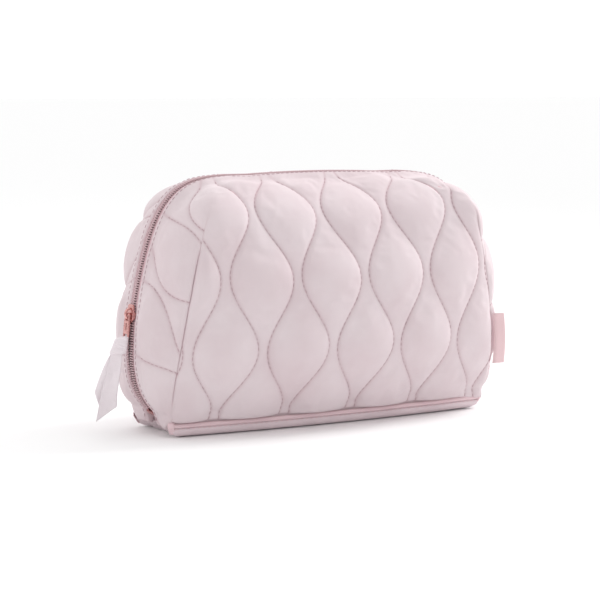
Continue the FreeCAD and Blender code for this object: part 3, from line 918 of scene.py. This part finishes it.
def ribbon_tail(name, left, right, off, curl, phase):
    """Hanging end of the ribbon between its two edges, with a soft lengthwise curl."""
    rows, cols = 40, 12
    t = np.linspace(0, 1, rows)
    left, right = bezier(left, t), bezier(right, t)
    u = np.linspace(0, 1, cols)[None, :]
    across = left[:, :1] * (1 - u) + right[:, :1] * u
    z = left[:, 1:] * (1 - u) + right[:, 1:] * u
    v = t[:, None]
    bow = curl * np.sin(math.pi * u) * smoothstep(v * 3) + 0.9 * np.sin(2.4 * v * math.pi + phase) * v
    bow = bow + 0.5 * (u - 0.5) * np.sin(3.0 * v * math.pi + phase)
    points = in_ribbon(across, off + bow, z)
    return make_object(name, points, grid_faces(rows, cols), RIBBON, "ribbon", thickness=0.35)


TAG_LOW_Z = 29.5
TAG_HIGH_Z = 62.0


def side_tag():
    """Blank tag, folded double, out of the right front dart seam."""
    count = 30
    t = np.linspace(0, 1, 400)
    seam = bezier(CORNER_CURVE, t) * [1, -1, 1]
    seam = seam[(seam[:, 2] >= TAG_LOW_Z) & (seam[:, 2] <= TAG_HIGH_Z) & (t < 0.7)]
    seam = resample(seam, count)
    out = unit(np.array([1, -0.1, 0.0]))
    face = np.cross(out, unit(seam[-1] - seam[0]))
    v = np.linspace(1, 0, count)
    half = [(-1.5, 0.28), (1.5, 0.34), (4.0, 0.38), (5.2, 0.36), (5.9, 0.2)]
    profile = [(reach, -off) for reach, off in half] + [(6.05, 0.0)] + half[::-1]
    wave = 0.25 * np.sin(v * 5.0)
    rows = []
    for reach, off in profile:
        stretch = reach * (1 + 0.14 * v) if reach > 0 else reach + 0 * v
        rows.append(seam + out * stretch[:, None] + face * (off + 0.5 + wave * max(reach, 0) / 6)[:, None])
    return shell("side_tag_cloth", np.stack(rows, 1), tube_faces(count, len(profile)), TAG, "tag")


# ---- base ----
BASE_CORNER = (108.0, 25.0)
BASE_FRONT_Y = 31.0
BASE_SIDE_X = 104.0
CORNER_CUT = 3.2
END_TUCK = 3.5            # how far the base is drawn in under the ends of the halves
BASE_COUNT = 360          # points round the base
TAB_INSET = (1.4, 1.1)    # the corner tabs, from the corners of the base's outline


def base_loop(shrink, count):
    """Closed outline of the base, drawn in by shrink, as even (x, y) points."""
    cx, cy = BASE_CORNER[0] - shrink, BASE_CORNER[1] - shrink
    front, side = BASE_FRONT_Y - shrink, BASE_SIDE_X - shrink
    on_long = np.array([cx - CORNER_CUT, cy + (front - cy) * 2 * CORNER_CUT / cx])
    on_short = np.array([cx - (cx - side) * 2 * CORNER_CUT / cy, cy - CORNER_CUT])
    t = np.linspace(0, 1, 40)
    along = 2 * t - 1
    long_edge = np.stack([on_long[0] * along, (front - on_long[1]) * along ** 2 - front], -1)
    short_edge = np.stack([side + (on_short[0] - side) * along ** 2, -on_short[1] * along], -1)
    corner = bezier([on_long, (cx, cy), on_short], t)
    half = np.concatenate([long_edge, corner * [1, -1], short_edge[::-1], corner[::-1]])
    loop = np.concatenate([half, half * [-1, -1]])
    loop = loop[np.linalg.norm(np.diff(loop, axis=0, append=loop[:1]), axis=1) > 1e-6]
    return resample(np.vstack([loop, loop[:1]]), count + 1)[:-1]


def ring(shrink, z, count=BASE_COUNT, scale=1.0):
    """The base outline at a height, drawn in a little more under the hanging ends of the halves."""
    loop = base_loop(shrink, count)
    on_end = smoothstep((np.abs(loop[:, 0]) - 99) / 4) * smoothstep((24 - np.abs(loop[:, 1])) / 8)
    loop[:, 0] -= np.sign(loop[:, 0]) * END_TUCK * on_end
    return np.column_stack([loop * scale, np.full(count, float(z))])


def loop_phase(count=BASE_COUNT):
    return np.arange(count) * 2 * math.pi / count


def base_pad():
    """Padded base: a soft rim, an underside that rests flat, and an inner floor."""
    profile = [(2.2, 6.6), (1.0, 6.0), (0.35, 5.0), (0.3, 4.0), (0.8, 2.8), (1.8, 1.6), (3.4, 0.6),
               (5.6, 0.1), (8.5, 0.0)]
    p = loop_phase()
    outside = []
    for i, (shrink, z) in enumerate(profile):
        r = ring(shrink, z)
        dent = 0.35 * np.sin(31 * p + 2.0 * np.sin(5 * p)) * np.sin(math.pi * i / (len(profile) - 1)) ** 2
        r[:, :2] += unit(r[:, :2]) * dent[:, None]
        outside.append(r)
    outside += [ring(8.5, 0.35 * (1 - k), scale=k) for k in (0.8, 0.6, 0.4, 0.2, 0.04)]
    inside = [ring(3.0, 5.9)] + [ring(3.0, 5.5, scale=k) for k in (0.75, 0.5, 0.25, 0.04)]
    n, top = BASE_COUNT, len(outside) * BASE_COUNT
    middle = top + (len(inside) - 1) * n
    faces = grid_faces(len(outside), n, wrap=True).tolist()
    faces += grid_faces(len(inside), n, wrap=True, start=top).tolist()
    faces += [[i, (i + 1) % n, top + (i + 1) % n, top + i] for i in range(n)]
    faces += [list(range(top - n, top)), list(range(middle, middle + n))]
    return shell("base_pad", np.concatenate(outside + inside), faces, BASE_CLOTH, "quilt_fabric")


def base_lining():
    """Lining of the floor, turned up at its edge and faintly rippled."""
    rings = [ring(2.6, 7.4), ring(3.0, 6.4)]
    for k in (0.97, 0.75, 0.5, 0.25, 0.03):
        rings.append(ring(3.0, 6.0, scale=k))
        rings[-1][:, 2] += 0.35 * np.sin(5 * loop_phase() + 3 * k) * (1 - k)
    last = (len(rings) - 1) * BASE_COUNT
    faces = grid_faces(len(rings), BASE_COUNT, wrap=True).tolist() + [list(range(last, last + BASE_COUNT))]
    return shell("base_floor_lining", np.stack(rings), faces, LINING, "lining", thickness=0.3)


def band(name, shrink, z, a, b, material, slot, wrinkle):
    """Cord or binding that follows the base outline."""
    path = ring(shrink, z, 2 * BASE_COUNT)
    up = np.tile([0.0, 0.0, 1.0], (len(path), 1))
    p = loop_phase(len(path))
    swell = (1 + wrinkle * np.sin(97 * p + 1.5 * np.sin(11 * p)))[:, None]
    across = (np.cross(loop_tangents(path), up) * swell, up * swell)
    points, faces = sweep(path, across, ellipse(a, b, 14, 0.85), closed=True)
    return shell(name, points, faces, material, slot)


def base_stitches():
    """Topstitching just below the piping."""
    loop = ring(0.35, 5.3, 900)
    normals = np.cross(loop_tangents(loop), [0.0, 0.0, 1.0])
    points, faces = copies(*capsule(STITCH, THREAD_R), *stitch_run(list(zip(loop, normals)), 0.15))
    return shell("base_stitches", points, faces, PIPING, "piping")


def corner_tab(name, sx, sy):
    """Bound end of a dart seam, folded over the piping at a corner of the base."""
    profile = [(-0.6, 9.3), (0.55, 8.7), (0.95, 7.6), (0.85, 6.3), (0.1, 5.2), (-0.7, 4.0), (-1.5, 2.9),
               (-2.4, 2.0)]
    out = unit(np.array([sx, sy, 0.0]))
    side = np.array([-out[1], out[0], 0.0])
    centre = np.array([sx * (BASE_CORNER[0] - TAB_INSET[0]), sy * (BASE_CORNER[1] - TAB_INSET[1]), 0.0])
    points = [centre + out * (reach + 0.35 - 0.6 * k * k) + side * (k * 1.9) + [0, 0, z]
              for reach, z in resample(np.array(profile), 20) for k in np.linspace(-1, 1, 9)]
    return shell(name, points, grid_faces(20, 9), PIPING, "piping", thickness=0.6, subdivisions=1)


def on_half(piece, half, *nodes):
    """Bakes a piece's place into its mesh, in place of CAD nodes, which it hides."""
    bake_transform(piece)
    if nodes:
        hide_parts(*nodes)
    return piece


def riding(piece, body, *nodes):
    """Puts a piece on one body, in place of CAD nodes."""
    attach(piece, body)
    if nodes:
        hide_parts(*nodes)
    return piece


cloth = Cloth()
for half, side in (("front", -1), ("back", 1)):
    is_back = half == "back"
    quilt = on_half(quilt_half(half + "_quilt", is_back), half, half + "_panel", half + "_wadding")
    lining = on_half(lining_half(half + "_lining_cloth", is_back), half, half + "_lining")
    on_half(stitched(cloth, half + "_stitches", is_back), half)
    on_half(zip_tape("zip_tape_" + half + "_cloth", side), half, "zip_tape_" + half)
    on_half(zip_coil("zip_coil_" + half + "_nylon", side), half, "zip_coil_" + half)
tag = on_half(side_tag(), "front", "side_tag")

pad = riding(base_pad(), "base", "base_outer", "base_wadding")
floor_lining = riding(base_lining(), "base", "base_lining")
piping = band("base_piping_cord", 0.75, 7.1, 1.25, 1.35, PIPING, "piping", 0.02)
riding(piping, "base", "base_piping")
binding = band("base_binding_tape", 7.6, 7.6, 0.8, 1.7, BINDING, "binding", 0.015)
riding(binding, "base", "base_binding")
riding(base_stitches(), "base")
for x_word, sx in (("left", -1), ("right", 1)):
    for y_word, sy in (("front", -1), ("back", 1)):
        corner = y_word + "_" + x_word
        riding(corner_tab("tab_" + corner + "_cloth", sx, sy), "base", "corner_tab_" + corner)

riding(slider_body(), "slider", "slider_body")
riding(slider_crown(), "slider", "slider_crown")
pull_rim, pull_bars = pull()
riding(pull_rim, "pull", "zip_pull")
riding(pull_bars, "pull")
knot = riding(ribbon_knot(), "pull", "ribbon_knot")
tail_long = ribbon_tail(
    "ribbon_tail_long_cloth", [(-3.9, 48.5), (-8.6, 34.0), (-11.0, 21.0), (-13.6, 8.0)],
    [(2.0, 48.5), (1.6, 36.0), (-1.4, 28.0), (-1.5, 16.8)], -0.9, 0.9, 0.4)
tail_short = ribbon_tail(
    "ribbon_tail_short_cloth", [(-4.2, 48.5), (-9.5, 40.0), (-12.0, 32.0), (-14.4, 25.2)],
    [(1.2, 48.5), (-1.0, 38.0), (-5.0, 28.0), (-11.8, 17.2)], 0.9, -0.6, 2.0)
for tail, node_name, length, area in ((tail_long, "ribbon_tail_long", 0.042, 0.00034),
                                      (tail_short, "ribbon_tail_short", 0.032, 0.00022)):
    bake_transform(tail)
    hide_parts(node_name)

for name in ("zip_stop_foot_front", "zip_stop_foot_back", "zip_stop_far"):
    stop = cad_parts[name]
    stop.data.materials.clear()
    stop.data.materials.append(ROSE)
    rounding = stop.modifiers.new("rounding", "BEVEL")
    rounding.width = 0.3 * MM
    rounding.segments = 3


# ---- floor, light and camera ----
FLOOR_REACH = 30.0
FLOOR_Z = -0.0002
LOOK_AT = Vector((-8.24, 0, 72.0)) * MM
CAMERA_AWAY = 1.1472
CAMERA_AZIMUTH = math.radians(-29.74)
CAMERA_ELEVATION = math.radians(6.40)


def add(name, data):
    obj = bpy.data.objects.new(name, data)
    bpy.context.scene.collection.objects.link(obj)
    return obj


def stage():
    """Wide white floor, just under the bag."""
    mesh = bpy.data.meshes.new("floor")
    corners = [(x * FLOOR_REACH, y * FLOOR_REACH, FLOOR_Z) for x, y in ((-1, -1), (1, -1), (1, 1), (-1, 1))]
    mesh.from_pydata(corners, [], [(0, 1, 2, 3)])
    paper = {"Base Color": (0.95, 0.95, 0.95, 1), "Roughness": 0.9, "Specular IOR Level": 0.1}
    mesh.materials.append(new_material("floor_paper", paper)[0])
    add("floor", mesh)


def area_light(name, place, target, size, power):
    light = bpy.data.lights.new(name, "AREA")
    light.shape = "RECTANGLE"
    light.size, light.size_y = size
    light.energy = power
    obj = add(name, light)
    obj.location = place
    obj.rotation_euler = (Vector(target) - Vector(place)).to_track_quat("-Z", "Y").to_euler()


def camera():
    back = Vector((math.sin(CAMERA_AZIMUTH) * math.cos(CAMERA_ELEVATION),
                   -math.cos(CAMERA_AZIMUTH) * math.cos(CAMERA_ELEVATION), math.sin(CAMERA_ELEVATION)))
    data = bpy.data.cameras.new("camera")
    data.sensor_width = 36.0
    data.lens = 114.0
    obj = add("camera", data)
    obj.location = LOOK_AT + back * CAMERA_AWAY
    obj.rotation_euler = (-back).to_track_quat("-Z", "Y").to_euler()
    bpy.context.scene.camera = obj


def sky(world):
    """Soft studio dome: brightest overhead and behind the bag, dimmer on the camera's side."""
    tree = world.node_tree
    dome = tree.nodes["Background"]
    dome.inputs["Color"].default_value = (1, 1, 1, 1)
    place = node(tree, "ShaderNodeTexCoord")
    lean = node(tree, "ShaderNodeVectorMath", {1: (0.20, 0.26, 0.38)}, operation="DOT_PRODUCT")
    tree.links.new(place.outputs["Generated"], lean.inputs[0])
    level = node(tree, "ShaderNodeMath", {1: 0.78}, operation="ADD")
    tree.links.new(lean.outputs["Value"], level.inputs[0])
    tree.links.new(level.outputs[0], dome.inputs["Strength"])


def light_scene():
    world = bpy.data.worlds.new("studio")
    bpy.context.scene.world = world
    world.use_nodes = True
    sky(world)
    area_light("key", (0.9, -0.05, 0.8), (0, 0, 0.1), (0.35, 0.35), 6.0)
    area_light("left", (-0.9, 0.1, 0.6), (0, 0, 0.08), (0.4, 0.4), 0.9)
    settings = bpy.context.scene.view_settings
    settings.view_transform = "Standard"
    settings.look = "None"
    settings.exposure = 0.0
    settings.gamma = 1.0


stage()
light_scene()
camera()
